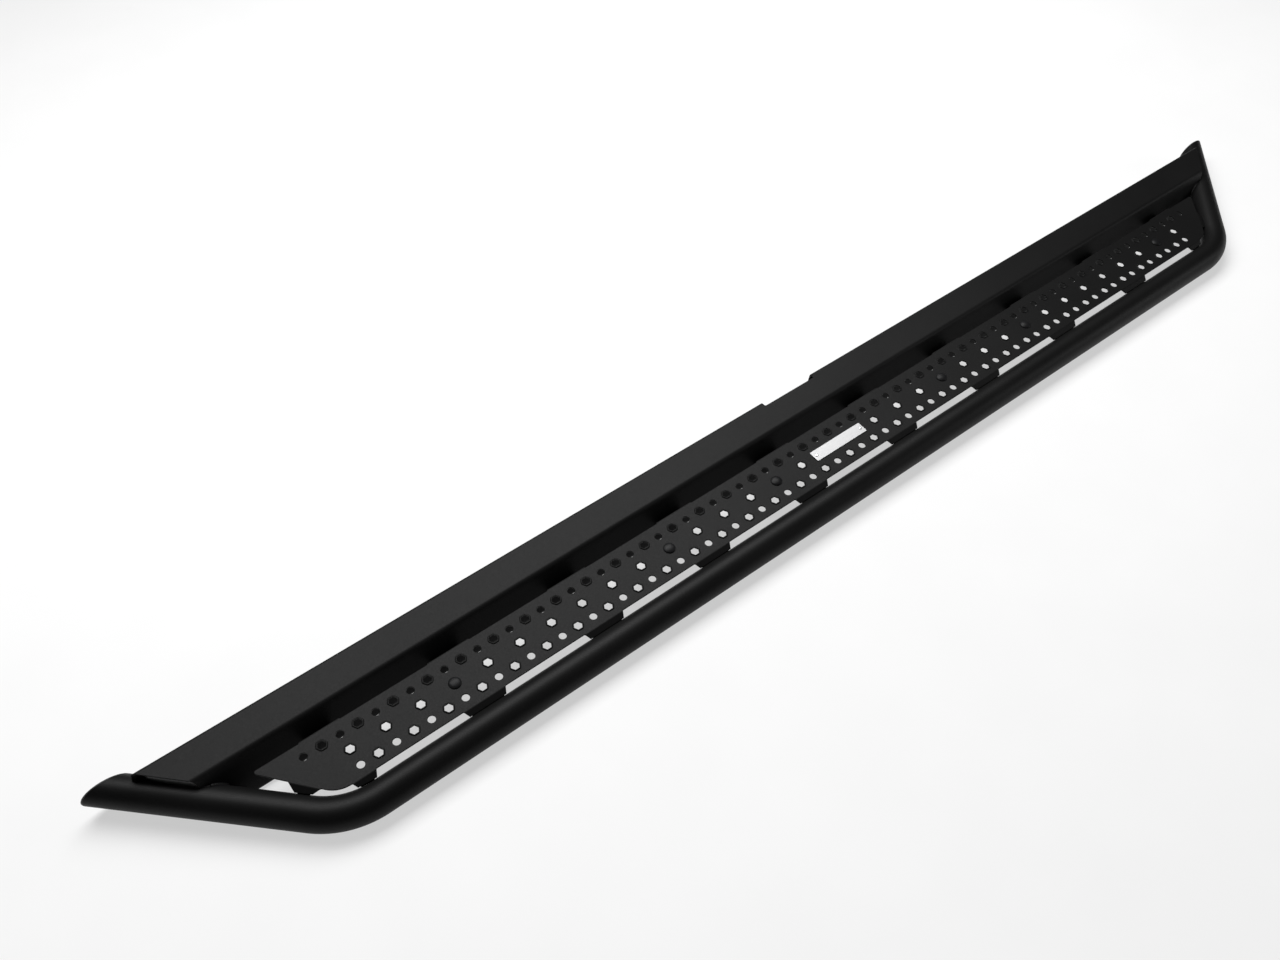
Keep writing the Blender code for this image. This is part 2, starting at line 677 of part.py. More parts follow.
def make_badge():
    half_x, half_y = BADGE_LENGTH / 2, BADGE_WIDTH / 2
    corners = [(-half_x, -half_y), (half_x, -half_y), (half_x, half_y), (-half_x, half_y)]
    outline = []
    for i, corner in enumerate(corners):
        outline += fillet(corners[i - 1], corner, corners[(i + 1) % 4], BADGE_CORNER, 3)
    holes = [polygon((x, 0), RIVET_RADIUS + GAP, RIVET_SIDES) for x in (-RIVET_X, RIVET_X)]
    bm = sheet(outline, holes, [], BADGE_THICKNESS)
    badge = add_object("badge_plate", bm, BRUSHED)
    badge.location = (*BADGE_CENTRE, GAP + BADGE_THICKNESS)
    return badge


def make_rivet(name, x):
    """A blind rivet: domed head on the badge, shank down through the plate."""
    seat = 2 * GAP + BADGE_THICKNESS
    tail = -SHEET - 2 * MM
    head = [(RIVET_HEAD_RADIUS * math.cos(a), seat + RIVET_HEAD_HEIGHT * math.sin(a))
            for a in (0, math.radians(30), math.radians(60), math.radians(80))]
    profile = [(RIVET_RADIUS, tail), (RIVET_RADIUS, seat), *head]
    bm = bmesh.new()
    turned(bm, Vector((x, BADGE_CENTRE[1], 0)), Vector((0, 0, 1)), profile, RIVET_SIDES)
    return add_object(name, bm, ZINC)


# Assembly

def main():
    make_step_plate()
    tube = make_tube()
    make_channel()
    plugs = []
    for side, word in ((-1, "left"), (1, "right")):
        plugs.append(make_plug(f"end_cap_{word}", side))
        make_screw(f"cap_screw_{word}", side)
        add_screw_hole(f"screw_hole_{word}", side, [tube, plugs[-1]])
        make_rivet(f"badge_rivet_{word}", side * RIVET_X)
    for k, step in enumerate(BOLT_STEPS):
        make_bolt(f"plate_bolt_{k + 1}", step * PITCH)
        make_nut(f"plate_nut_{k + 1}", step * PITCH)
    make_badge()

    board.rotation_euler = (lean_angle(), 0, 0)
    bpy.context.view_layer.update()
    ends = [board.matrix_world @ vertex.co for obj in (tube, *plugs) for vertex in obj.data.vertices]
    depth = [point.y for point in ends]
    board.location.y = -(min(depth) + max(depth)) / 2
    board.location.z = -min(point.z for point in ends)


main()
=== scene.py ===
"""Running board for a pickup: the finished look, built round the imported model.

Pieces are made with the step plate level, in metres: x along the vehicle, y towards it, z up,
z = 0 on the plate's top and y = 0 on its outer row of holes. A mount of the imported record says
how that plate frame leans in the model's frame, and every mesh is moved there once.
"""

import json
import math

import bmesh
import bpy
import numpy as np
from mathutils import Matrix, Vector
from mathutils.geometry import delaunay_2d_cdt


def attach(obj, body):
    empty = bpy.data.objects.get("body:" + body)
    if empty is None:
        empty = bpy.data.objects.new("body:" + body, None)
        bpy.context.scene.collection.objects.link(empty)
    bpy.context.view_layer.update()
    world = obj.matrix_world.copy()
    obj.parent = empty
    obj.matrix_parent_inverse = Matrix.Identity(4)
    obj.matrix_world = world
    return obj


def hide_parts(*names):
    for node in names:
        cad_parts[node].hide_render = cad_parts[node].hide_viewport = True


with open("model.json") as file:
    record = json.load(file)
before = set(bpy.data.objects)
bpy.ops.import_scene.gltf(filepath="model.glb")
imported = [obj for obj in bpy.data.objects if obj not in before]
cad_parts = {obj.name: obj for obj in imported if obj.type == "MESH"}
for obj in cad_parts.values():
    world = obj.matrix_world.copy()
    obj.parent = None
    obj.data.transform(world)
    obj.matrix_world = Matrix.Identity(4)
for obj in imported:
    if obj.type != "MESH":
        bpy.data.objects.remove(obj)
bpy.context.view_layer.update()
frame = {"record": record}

MM = 0.001
GAP = 0.3 * MM

# Pattern of holes
PITCH = 50.8 * MM
ROW_OUTER_Y = 0.0
ROW_MIDDLE_Y = 25.4 * MM
ROW_INNER_Y = 50.4 * MM
ROUND_RADIUS = 5.4 * MM
ROUND_SIDES = 32
DIMPLE_SIDES = 36
# Dimple, from its foot on the top face over the rim and back to the foot underneath:
# corner radius, height over the top face, and share of hexagon in the outline
DIMPLE = [(8.9, 0.0, 0.55), (8.6, 0.05, 0.6), (8.25, 0.3, 0.65), (7.85, 0.85, 0.75),
          (7.65, 1.12, 0.8), (7.4, 1.25, 0.85), (6.9, 1.27, 0.95), (6.6, 1.18, 1.0),
          (6.4, 0.9, 1.0), (6.4, -0.9, 1.0), (6.5, -1.1, 1.0), (6.8, -1.2, 0.95),
          (7.1, -1.4, 0.85), (7.6, -2.05, 0.75), (7.9, -2.4, 0.6), (8.2, -2.5, 0.55)]

# Step plate
SHEET = 2.5 * MM
EDGE = 0.4 * MM                 # rounding of the cut edges
PLATE_FRONT_Y = -15.8 * MM
PLATE_REAR_Y = 69.1 * MM
PLATE_REAR_HALF_LENGTH = 950.0 * MM
PLATE_END_ANGLE = math.radians(49.5)
PLATE_CORNER_RADIUS = 38.0 * MM
REAR_CORNER_RADIUS = 3.0 * MM
TAB_PITCH = 190.75 * MM
TAB_FOLD = math.radians(30.0)
TAB_BEND = 4.5 * MM             # outer radius of the tabs' folds
REAR_TAB_FOLD = math.radians(75.0)
REAR_TAB_BEND = 3.0 * MM
TAB_STEPS = 6
TAB_WIDTH = 64.5 * MM
TAB_TAPER = 0.47
FRONT_TABS_PER_SIDE = 4
FRONT_TAB_LENGTH = 10.3 * MM
END_TAB_X = 842.5 * MM
END_TAB_WIDTH = 34.0 * MM
END_TAB_LENGTHS = (10.3 * MM, 8.5 * MM)
SIDE_TAB_WIDTH = 43.0 * MM
SIDE_TAB_TAPER = 1.0
SIDE_TAB_Y = 17.0 * MM
SIDE_TAB_LENGTHS = (9.4 * MM, 11.6 * MM)
REAR_TABS_PER_SIDE = 4
REAR_TAB_FLAT = 19.9 * MM        # flat part, past the fold, down to the channel's web
LAST_REAR_TAB_X = 856.5 * MM
LAST_REAR_TAB_WIDTH = 58.0 * MM

# Outer tube
TUBE_RADIUS = 22.225 * MM
TUBE_WALL = 2.6 * MM
TUBE_Y = -43.4 * MM
TUBE_Z = -17.9 * MM
TUBE_CORNER_X = 884.0 * MM
TUBE_BEND_RADIUS = 112.0 * MM
TUBE_BEND_ANGLE = math.radians(44.7)
TUBE_DROP = math.atan(0.03)
TUBE_END_Y = 165.0 * MM
TUBE_SIDES = 96
BEND_STEPS = 28

# Rear channel
CHANNEL_TOP_Z = 14.2 * MM
CHANNEL_BOTTOM_Z = -48.5 * MM
CHANNEL_REAR_TOP_Y = 146.2 * MM
CHANNEL_REAR_BOTTOM_Y = 150.4 * MM
WEB_Y = 86.96 * MM
WEB_SLOPE = 0.4426
CHANNEL_BENDS = (5.0 * MM, 7.6 * MM, 5.0 * MM, 4.0 * MM)    # rear top, front top, then below
FOLD_STEPS = 10
CHANNEL_END_X = 919.0 * MM
CHANNEL_END_RAKE = 0.12
COPE_CLEARANCE = 0.8 * MM
LIP_END_X = 1064.3 * MM
LIP_END_RAKE = 1.3
WINDOW_LOW_Z = -35.0 * MM
WINDOW_HIGH_Z = -7.9 * MM
SEAM_Z = (WINDOW_LOW_Z + WINDOW_HIGH_Z) / 2
WINDOW_START_X = 63.0 * MM
NOTCH_HALF_WIDTH = 51.3 * MM
NOTCH_Y = 137.2 * MM
CUT_CORNER = 2.5 * MM

# Bolt slots
SLOT_WIDTH = 7.0 * MM
SLOT_LENGTH = 70.0 * MM
SLOT_PITCH = 101.6 * MM
SLOTS_PER_SIDE = 9
SLOT_ROW_FRONT_Y = 113.8 * MM
SLOT_ROW_REAR_Y = 131.1 * MM
SLOT_FRONT_START_X = 121.9 * MM
SLOT_REAR_START_X = 172.7 * MM
CENTRE_SLOT_LENGTH = 105.6 * MM
SHORT_SLOT_LENGTH = 34.0 * MM
SHORT_SLOT_X = 82.8 * MM

# Carriage bolts and nuts of the middle row
BOLT_STEPS = (-13.5, -6.5, -2.5, 4.5, 8.5, 15.5)    # places along x, in hole pitches
BOLT_SHANK_RADIUS = 4.75 * MM
BOLT_LENGTH = 14.0 * MM
NUT_RADIUS = 9.2 * MM
NUT_HEIGHT = 8.0 * MM

# End plugs and screws
PLUG_DEPTH = 45.0 * MM
PLUG_WALL = 3.0 * MM
SCREW_Y = 138.0 * MM
SCREW_ELEVATION = math.radians(16.4)

# Badge
BADGE_LENGTH = 102.6 * MM
BADGE_WIDTH = 18.8 * MM
BADGE_THICKNESS = 1.0 * MM
BADGE_Y = 25.3 * MM
BADGE_CORNER = 1.5 * MM
RIVET_X = 45.5 * MM
RIVET_RADIUS = 1.5 * MM

# Weld beads
TAB_BEAD_RADIUS = 1.9 * MM
TAB_BEAD_TRIM = 3.0 * MM        # left bare at each end of a tab's tip
CHANNEL_BEAD_RADIUS = 3.2 * MM
CHANNEL_BEAD_HEIGHTS = ((-3.0 * MM, -17.0 * MM), (-23.0 * MM, -33.0 * MM))    # top and bottom
CHANNEL_BEAD_OUT = 0.8 * MM     # past the channel's end, towards the tube
CHANNEL_BEAD_FORWARD = 0.4 * MM
BEAD_FLATNESS = 0.75            # height over width
BEAD_RIPPLE = 2.6 * MM          # from one ripple to the next
BEAD_SIDES = 14

# Fineness of the round stretches
TURNED_SIDES = 48
RIVET_SIDES = 32
RIVET_HOLE_SIDES = 24
PLATE_CORNER_STEPS = 14
SMALL_CORNER_STEPS = 6
CUT_STEPS = 4
SLOT_STEPS = 12

# Place of the plate frame in the model's frame, from the flat under the channel
BRACKET_POINT = Vector((0.0, 95.0, -48.5)) * MM
bracket = next(m for m in frame["record"]["mounts"] if m["name"] == "bracket_face")
LEAN = math.atan2(bracket["axis"][1], -bracket["axis"][2])
TURN = Matrix.Rotation(LEAN, 4, "X")
BOARD = Matrix.Translation(Vector(bracket["pos_m"]) - TURN @ BRACKET_POINT) @ TURN


# Camera

CAMERA_PLACE = Vector((-1.02423, -0.67904, 1.40818))
CAMERA_FORWARD = Vector((0.4111, 0.4605, -0.7867)).normalized()
CAMERA_RIGHT = Vector((0.7846, -0.6181, 0.0482))
CAMERA_LENS = 34.42

camera_data = bpy.data.cameras.new("camera")
camera_data.lens = CAMERA_LENS
camera_data.sensor_width = 36.0
camera_data.clip_end = 50.0
camera = bpy.data.objects.new("camera", camera_data)
bpy.context.collection.objects.link(camera)
right = (CAMERA_RIGHT - CAMERA_FORWARD * CAMERA_RIGHT.dot(CAMERA_FORWARD)).normalized()
up = right.cross(CAMERA_FORWARD)
axes = Matrix((right, up, -CAMERA_FORWARD)).transposed().to_4x4()
camera.matrix_world = BOARD @ Matrix.Translation(CAMERA_PLACE) @ axes
bpy.context.scene.camera = camera


# Materials

NOISE_LOW, NOISE_HIGH = 0.3, 0.7


def new_material(name):
    material = bpy.data.materials.new(name)
    material.use_nodes = True
    tree = material.node_tree
    return material, tree, tree.nodes["Principled BSDF"]


def noise(tree, coordinates, scale, detail, stretch=None):
    """A noise texture over the object's own space. Scale counts features in a metre."""
    texture = tree.nodes.new("ShaderNodeTexNoise")
    texture.inputs["Scale"].default_value = scale
    texture.inputs["Detail"].default_value = detail
    if stretch:
        mapping = tree.nodes.new("ShaderNodeMapping")
        mapping.inputs["Scale"].default_value = stretch
        tree.links.new(coordinates.outputs["Object"], mapping.inputs["Vector"])
        tree.links.new(mapping.outputs["Vector"], texture.inputs["Vector"])
    else:
        tree.links.new(coordinates.outputs["Object"], texture.inputs["Vector"])
    return texture.outputs["Fac"]


def ranged(tree, value, low, high):
    """The middle of a noise's range, stretched from low to high."""
    mapped = tree.nodes.new("ShaderNodeMapRange")
    mapped.inputs["From Min"].default_value = NOISE_LOW
    mapped.inputs["From Max"].default_value = NOISE_HIGH
    mapped.inputs["To Min"].default_value = low
    mapped.inputs["To Max"].default_value = high
    tree.links.new(value, mapped.inputs["Value"])
    return mapped.outputs["Result"]


def ramped(tree, value, dark, light):
    """The middle of a noise's range, as colours from dark to light."""
    ramp = tree.nodes.new("ShaderNodeValToRGB")
    ramp.color_ramp.elements[0].position = NOISE_LOW
    ramp.color_ramp.elements[0].color = (*dark, 1.0)
    ramp.color_ramp.elements[1].position = NOISE_HIGH
    ramp.color_ramp.elements[1].color = (*light, 1.0)
    tree.links.new(value, ramp.inputs["Fac"])
    return ramp.outputs["Color"]


def bumped(tree, value, distance, under=None):
    """Normals of a relief of that height, laid over the relief underneath, if there is one."""
    bump = tree.nodes.new("ShaderNodeBump")
    bump.inputs["Distance"].default_value = distance
    bump.inputs["Strength"].default_value = 1.0
    tree.links.new(value, bump.inputs["Height"])
    if under:
        tree.links.new(under, bump.inputs["Normal"])
    return bump.outputs["Normal"]


def powder_coat(name, dark, light, rough, grain=0.05 * MM, wave=0.0):
    """Fine-textured powder coat: grain about 0.7 mm across over a soft orange peel."""
    material, tree, shader = new_material(name)
    shader.inputs["Specular IOR Level"].default_value = 0.11
    place = tree.nodes.new("ShaderNodeTexCoord")
    clouds = noise(tree, place, 9.0, 3.0)
    tree.links.new(ramped(tree, clouds, dark, light), shader.inputs["Base Color"])
    speckle = noise(tree, place, 700.0, 2.0)
    tree.links.new(ranged(tree, speckle, rough - 0.05, rough + 0.07), shader.inputs["Roughness"])
    normal = None
    if wave:
        normal = bumped(tree, noise(tree, place, 7.0, 1.0), wave)
    normal = bumped(tree, noise(tree, place, 160.0, 1.0), 0.02 * MM, under=normal)
    normal = bumped(tree, noise(tree, place, 1400.0, 2.0), grain, under=normal)
    tree.links.new(normal, shader.inputs["Normal"])
    return material


def moulded_plastic():
    """Black plastic with a fine moulded grain."""
    material, tree, shader = new_material("plug_plastic")
    place = tree.nodes.new("ShaderNodeTexCoord")
    clouds = noise(tree, place, 40.0, 3.0)
    colour = ramped(tree, clouds, (0.012, 0.012, 0.012), (0.019, 0.019, 0.019))
    tree.links.new(colour, shader.inputs["Base Color"])
    tree.links.new(ranged(tree, clouds, 0.5, 0.62), shader.inputs["Roughness"])
    grain = noise(tree, place, 2200.0, 2.0)
    tree.links.new(bumped(tree, grain, 0.03 * MM), shader.inputs["Normal"])
    return material


def zinc():
    """Bright zinc plating, slightly mottled."""
    material, tree, shader = new_material("zinc_plate")
    place = tree.nodes.new("ShaderNodeTexCoord")
    clouds = noise(tree, place, 260.0, 3.0)
    colour = ramped(tree, clouds, (0.62, 0.64, 0.67), (0.8, 0.8, 0.79))
    tree.links.new(colour, shader.inputs["Base Color"])
    shader.inputs["Metallic"].default_value = 1.0
    tree.links.new(ranged(tree, clouds, 0.2, 0.36), shader.inputs["Roughness"])
    grain = noise(tree, place, 3000.0, 1.0)
    tree.links.new(bumped(tree, grain, 0.01 * MM), shader.inputs["Normal"])
    return material


def brushed():
    """Aluminium brushed along x."""
    material, tree, shader = new_material("badge_aluminium")
    place = tree.nodes.new("ShaderNodeTexCoord")
    lines = noise(tree, place, 1.0, 3.0, (60.0, 5200.0, 5200.0))
    colour = ramped(tree, lines, (0.34, 0.34, 0.343), (0.45, 0.45, 0.453))
    tree.links.new(colour, shader.inputs["Base Color"])
    shader.inputs["Metallic"].default_value = 1.0
    tree.links.new(ranged(tree, lines, 0.48, 0.62), shader.inputs["Roughness"])
    tree.links.new(bumped(tree, lines, 0.01 * MM), shader.inputs["Normal"])
    return material


STEEL_DARK, STEEL_LIGHT = (0.0035, 0.0035, 0.0035), (0.005, 0.005, 0.005)
TUBE_COAT = powder_coat("tube_powder_coat", STEEL_DARK, STEEL_LIGHT, 0.46)
PLATE_COAT = powder_coat("plate_powder_coat", STEEL_DARK, STEEL_LIGHT, 0.5, wave=0.25 * MM)
CHANNEL_COAT = powder_coat("channel_powder_coat", STEEL_DARK, STEEL_LIGHT, 0.5, wave=0.2 * MM)
BOLT_BLACK = powder_coat("bolt_black_zinc", (0.006, 0.006, 0.0065), (0.009, 0.009, 0.0095), 0.4,
                         0.02 * MM)
PLUG_PLASTIC = moulded_plastic()
ZINC = zinc()
BRUSHED = brushed()


# Mesh helpers

def add_piece(name, bm, material, replaced=(), sharp_angle=None):
    """Moves a bmesh from the plate frame to the model's, and makes it a piece on the root."""
    bmesh.ops.recalc_face_normals(bm, faces=bm.faces)
    mesh = bpy.data.meshes.new(name)
    bm.to_mesh(mesh)
    bm.free()
    mesh.transform(BOARD)
    mesh.materials.append(material)
    mesh.shade_smooth()
    if sharp_angle:
        mesh.set_sharp_from_angle(angle=math.radians(sharp_angle))
    piece = bpy.data.objects.new(name, mesh)
    bpy.context.collection.objects.link(piece)
    weighted = piece.modifiers.new("normals", "WEIGHTED_NORMAL")
    weighted.keep_sharp = True
    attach(piece, "root")
    if replaced:
        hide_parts(*replaced)
    return piece


def loft(bm, rings, close_ends=True):
    """Skins a row of rings with the same number of points, and returns their vertices."""
    layers = [[bm.verts.new(point) for point in ring] for ring in rings]
    count = len(layers[0])
    for low, high in zip(layers, layers[1:]):
        for i in range(count):
            j = (i + 1) % count
            bm.faces.new((low[i], low[j], high[j], high[i]))
    if close_ends:
        bm.faces.new(layers[0][::-1])
        bm.faces.new(layers[-1])
    return layers


def polygon(centre, radius, sides):
    angles = [2 * math.pi * i / sides for i in range(sides)]
    return [(centre[0] + radius * math.cos(a), centre[1] + radius * math.sin(a)) for a in angles]


def fillet(before, corner, after, radius, steps):
    """Points of the arc that rounds a corner between two straight edges."""
    corner = Vector(corner)
    to_before = (Vector(before) - corner).normalized()
    to_after = (Vector(after) - corner).normalized()
    half = to_before.angle(to_after) / 2
    centre = corner + (to_before + to_after).normalized() * radius / math.sin(half)
    start = (corner + to_before * radius / math.tan(half) - centre).normalized()
    end = (corner + to_after * radius / math.tan(half) - centre).normalized()
    return [tuple(centre + start.slerp(end, i / steps) * radius) for i in range(steps + 1)]


def rounded(outline, radius):
    """An outline with each of its corners rounded."""
    points = []
    for i, corner in enumerate(outline):
        after = outline[(i + 1) % len(outline)]
        points += fillet(outline[i - 1], corner, after, radius, SMALL_CORNER_STEPS)
    return points


def moved_in(loop, distance):
    """The loop moved to its left, into the material, with mitred corners."""
    points = np.array(loop)
    before = points - np.roll(points, 1, 0)
    after = np.roll(points, -1, 0) - points
    before /= np.linalg.norm(before, axis=1)[:, None]
    after /= np.linalg.norm(after, axis=1)[:, None]
    lefts = [np.stack((-d[:, 1], d[:, 0]), 1) for d in (before, after)]
    mitre = (lefts[0] + lefts[1]) / (1 + (lefts[0] * lefts[1]).sum(1))[:, None]
    return points + mitre * distance


def even_odd(points, loops):
    """True for each point that lies inside an odd number of the loops."""
    inside = np.zeros(len(points), bool)
    for loop in loops:
        corners = np.array(loop)
        for (ax, ay), (bx, by) in zip(corners, np.roll(corners, -1, 0)):
            crosses = (ay > points[:, 1]) != (by > points[:, 1])
            if crosses.any():
                reach = ax + (points[:, 1] - ay) * (bx - ax) / (by - ay)
                inside ^= crosses & (points[:, 0] < reach)
    return inside


def edge_profile(thickness, rounding):
    """A rounded cut edge, from the top face to the bottom one: inset and depth."""
    soft = rounding * (1 - math.sqrt(0.5))
    top = [(rounding, 0.0), (soft, soft), (0.0, rounding)]
    return top + [(inset, thickness - depth) for inset, depth in reversed(top)]


def cut_edge(loop, thickness, rounding=EDGE, pinned=lambda point: False):
    """Rings of (x, y, depth) down a cut edge. Outlines run counter-clockwise, holes clockwise.
    The y of a pinned point stays, so that the edge can be joined to another."""
    rings = []
    for inset, depth in edge_profile(thickness, rounding):
        ring = moved_in(loop, inset)
        for i, point in enumerate(loop):
            if pinned(point):
                ring[i][1] = point[1]
        rings.append([(x, y, depth) for x, y in ring])
    return rings


def formed_sheet(edges, creases, place):
    """A sheet between the top and bottom rings of its edges. A crease joins two points of the
    first edge by their numbers. place turns (x, y, depth) into a point in space."""
    bm = bmesh.new()
    layers = [[[bm.verts.new(place(*point)) for point in ring] for ring in rings]
              for rings in edges]
    for rings in layers:
        for low, high in zip(rings, rings[1:]):
            for i in range(len(low)):
                j = (i + 1) % len(low)
                bm.faces.new((low[i], low[j], high[j], high[i]))
    for level in (0, -1):
        loops = [[point[:2] for point in rings[level]] for rings in edges]
        verts = [vert for rings in layers for vert in rings[level]]
        points = [Vector(point) for loop in loops for point in loop]
        lines = list(creases)
        first = 0
        for loop in loops:
            lines += [(first + i, first + (i + 1) % len(loop)) for i in range(len(loop))]
            first += len(loop)
        flat = delaunay_2d_cdt(points, lines, [], 1, 1e-8)
        source = [found[0] for found in flat[3]]
        faces = np.array(flat[2])
        corners = np.array([tuple(v) for v in flat[0]])
        for face in faces[even_odd(corners[faces].mean(1), loops)]:
            trio = [verts[source[i]] for i in face]
            bm.faces.new(trio if level == 0 else trio[::-1])
    return bm


def turned(bm, start, axis, rings):
    """Rings of (x, y, height) about an axis, closed at both ends."""
    turn = Vector((0, 0, 1)).rotation_difference(axis)
    loft(bm, [[start + turn @ Vector(point) for point in ring] for ring in rings])


def circle(radius, height, sides):
    return [(x, y, height) for x, y in polygon((0, 0), radius, sides)]


def hexagon_point(angle, radius, share):
    """Point of a hexagon with a corner on +x, eased towards its circle."""
    within = (angle % (math.pi / 3)) - math.pi / 6
    hexagon = radius * math.cos(math.pi / 6) / math.cos(within)
    reach = share * hexagon + (1 - share) * radius * 0.96
    return reach * math.cos(angle), reach * math.sin(angle)


# Step plate

class Tab:
    """A tapered tab on an edge of the plate: root centre, outward direction, width at the root
    and the lengths of its two flat sides past the fold, counter-clockwise round the plate."""

    def __init__(self, root, outward, width, flats, taper=TAB_TAPER, angle=TAB_FOLD,
                 bend=TAB_BEND):
        self.root = Vector(root)
        self.outward = Vector(outward).normalized()
        self.along = Vector((-self.outward.y, self.outward.x))
        self.half = width / 2
        self.flats = flats
        self.taper = taper
        self.angle = angle
        self.bend = bend
        arc = bend * angle
        self.lengths = [arc + flat for flat in flats]
        self.steps = [arc * i / TAB_STEPS for i in range(TAB_STEPS + 1)]

    def point(self, side, out):
        half = self.half - self.taper * out
        return tuple(self.root + self.along * side * half + self.outward * out)

    def outline(self):
        first, second = self.lengths
        return ([self.point(-1, out) for out in [*self.steps, first]]
                + [self.point(1, out) for out in [second, *reversed(self.steps)]])

    def fold(self, x, y, depth):
        """Where a point of the flat sheet goes when the tab is bent down, or None."""
        place = Vector((x, y)) - self.root
        out = place.dot(self.outward)
        if out < -EDGE or abs(place.dot(self.along)) > self.half + EDGE:
            return None
        if out > 1.2 * max(self.lengths):
            return None
        angle = min(max(out, 0.0) / self.bend, self.angle)
        past = max(out - self.bend * self.angle, 0.0)
        reach = min(out, 0.0) + self.bend * math.sin(angle) + past * math.cos(angle)
        drop = self.bend * (1 - math.cos(angle)) + past * math.sin(angle)
        reach -= depth * math.sin(angle)
        drop += depth * math.cos(angle)
        shift = self.outward * (reach - out)
        return x + shift.x, y + shift.y, -drop

    def tip(self):
        """Ends of the tip's lower edge, for its weld."""
        first, second = self.lengths
        return [Vector(self.fold(*self.point(side, out - EDGE), SHEET))
                for side, out in ((-1, first), (1, second))]


def plate_tabs():
    edge = Vector((math.cos(PLATE_END_ANGLE), math.sin(PLATE_END_ANGLE)))
    rear_corner = Vector((PLATE_REAR_HALF_LENGTH, PLATE_REAR_Y))
    side_root = rear_corner - edge * (PLATE_REAR_Y - SIDE_TAB_Y) / edge.y

    def flats(*lengths):
        return [length - TAB_BEND * math.tan(TAB_FOLD) for length in lengths]

    front = [Tab(((k + 0.5) * TAB_PITCH, PLATE_FRONT_Y), (0, -1), TAB_WIDTH,
                 flats(FRONT_TAB_LENGTH, FRONT_TAB_LENGTH)) for k in range(FRONT_TABS_PER_SIDE)]
    front.append(Tab((END_TAB_X, PLATE_FRONT_Y), (0, -1), END_TAB_WIDTH, flats(*END_TAB_LENGTHS)))
    side = Tab(side_root, (edge.y, -edge.x), SIDE_TAB_WIDTH, flats(*SIDE_TAB_LENGTHS),
               SIDE_TAB_TAPER)
    rear_places = [(LAST_REAR_TAB_X, LAST_REAR_TAB_WIDTH)]
    rear_places += [((k + 0.5) * TAB_PITCH, TAB_WIDTH) for k in reversed(range(REAR_TABS_PER_SIDE))]
    rear = [Tab((x, PLATE_REAR_Y), (0, 1), width, (REAR_TAB_FLAT, REAR_TAB_FLAT),
                angle=REAR_TAB_FOLD, bend=REAR_TAB_BEND) for x, width in rear_places]
    return front, side, rear


def mirrored(tab):
    return Tab((-tab.root.x, tab.root.y), (-tab.outward.x, tab.outward.y), 2 * tab.half,
               tab.flats[::-1], tab.taper, tab.angle, tab.bend)


def half_outline(front, side, rear):
    """Outline of the +x half, and the numbers of the points where each tab starts."""
    rear_corner = (PLATE_REAR_HALF_LENGTH, PLATE_REAR_Y)
    run = (PLATE_REAR_Y - PLATE_FRONT_Y) / math.tan(PLATE_END_ANGLE)
    front_corner = (PLATE_REAR_HALF_LENGTH - run, PLATE_FRONT_Y)
    points, starts = [], []

    def add_tab(tab):
        starts.append(len(points))
        points.extend(tab.outline())

    for tab in front:
        add_tab(tab)
    points += fillet((0, PLATE_FRONT_Y), front_corner, rear_corner, PLATE_CORNER_RADIUS,
                     PLATE_CORNER_STEPS)
    add_tab(side)
    points += fillet(front_corner, rear_corner, (0, PLATE_REAR_Y), REAR_CORNER_RADIUS,
                     SMALL_CORNER_STEPS)
    for tab in rear:
        add_tab(tab)
    return points, starts


def dimple(x, y):
    """Rings of a raised hexagonal hole, clockwise, from its foot to its underside."""
    rings = []
    for radius, height, share in DIMPLE:
        ring = []
        for i in range(DIMPLE_SIDES):
            dx, dy = hexagon_point(-2 * math.pi * i / DIMPLE_SIDES, radius * MM, share)
            ring.append((x + dx, y + dy, -height * MM))
        rings.append(ring)
    return rings


def make_step_plate(front, side, rear):
    points, starts = half_outline(front, side, rear)
    outline = points + [(-x, y) for x, y in reversed(points)]
    last = len(outline) - 1
    count = 2 * (TAB_STEPS + 2)
    creases = []
    for start in starts:
        for k in range(TAB_STEPS + 1):
            pair = (start + k, start + count - 1 - k)
            creases += [pair, (last - pair[0], last - pair[1])]
    tabs = [*front, side, *rear]
    tabs += [mirrored(tab) for tab in tabs]

    def place(x, y, depth):
        for tab in tabs:
            folded = tab.fold(x, y, depth)
            if folded:
                return folded
        return x, y, -depth

    edges = [cut_edge(outline, SHEET)]
    large = [(k, ROW_OUTER_Y) for k in range(-16, 17)]
    large += [(k + 0.5, ROW_MIDDLE_Y) for k in range(-17, 17)
              if abs(k + 0.5) > 1 and k + 0.5 not in BOLT_STEPS]
    large += [(k, ROW_INNER_Y) for k in range(-17, 18)]
    small = [(k, ROW_MIDDLE_Y) for k in BOLT_STEPS]
    small += [(k + 0.5, ROW_OUTER_Y) for k in range(-17, 17)]
    small += [(k + 0.5, ROW_INNER_Y) for k in range(-18, 18)]
    edges += [dimple(k * PITCH, y) for k, y in large]
    edges += [cut_edge(polygon((k * PITCH, y), ROUND_RADIUS, ROUND_SIDES)[::-1], SHEET)
              for k, y in small]
    rivet_holes = [polygon((x, BADGE_Y), RIVET_RADIUS + GAP, RIVET_HOLE_SIDES)[::-1]
                   for x in (-RIVET_X, RIVET_X)]
    edges += [cut_edge(hole, SHEET, 0.1 * MM) for hole in rivet_holes]
    add_piece("step_plate_formed", formed_sheet(edges, creases, place), PLATE_COAT,
              ["step_plate"])
    return tabs


# Outer tube, its plugs and screws

PLANE_NORMAL = Vector((0, math.sin(TUBE_DROP), math.cos(TUBE_DROP)))


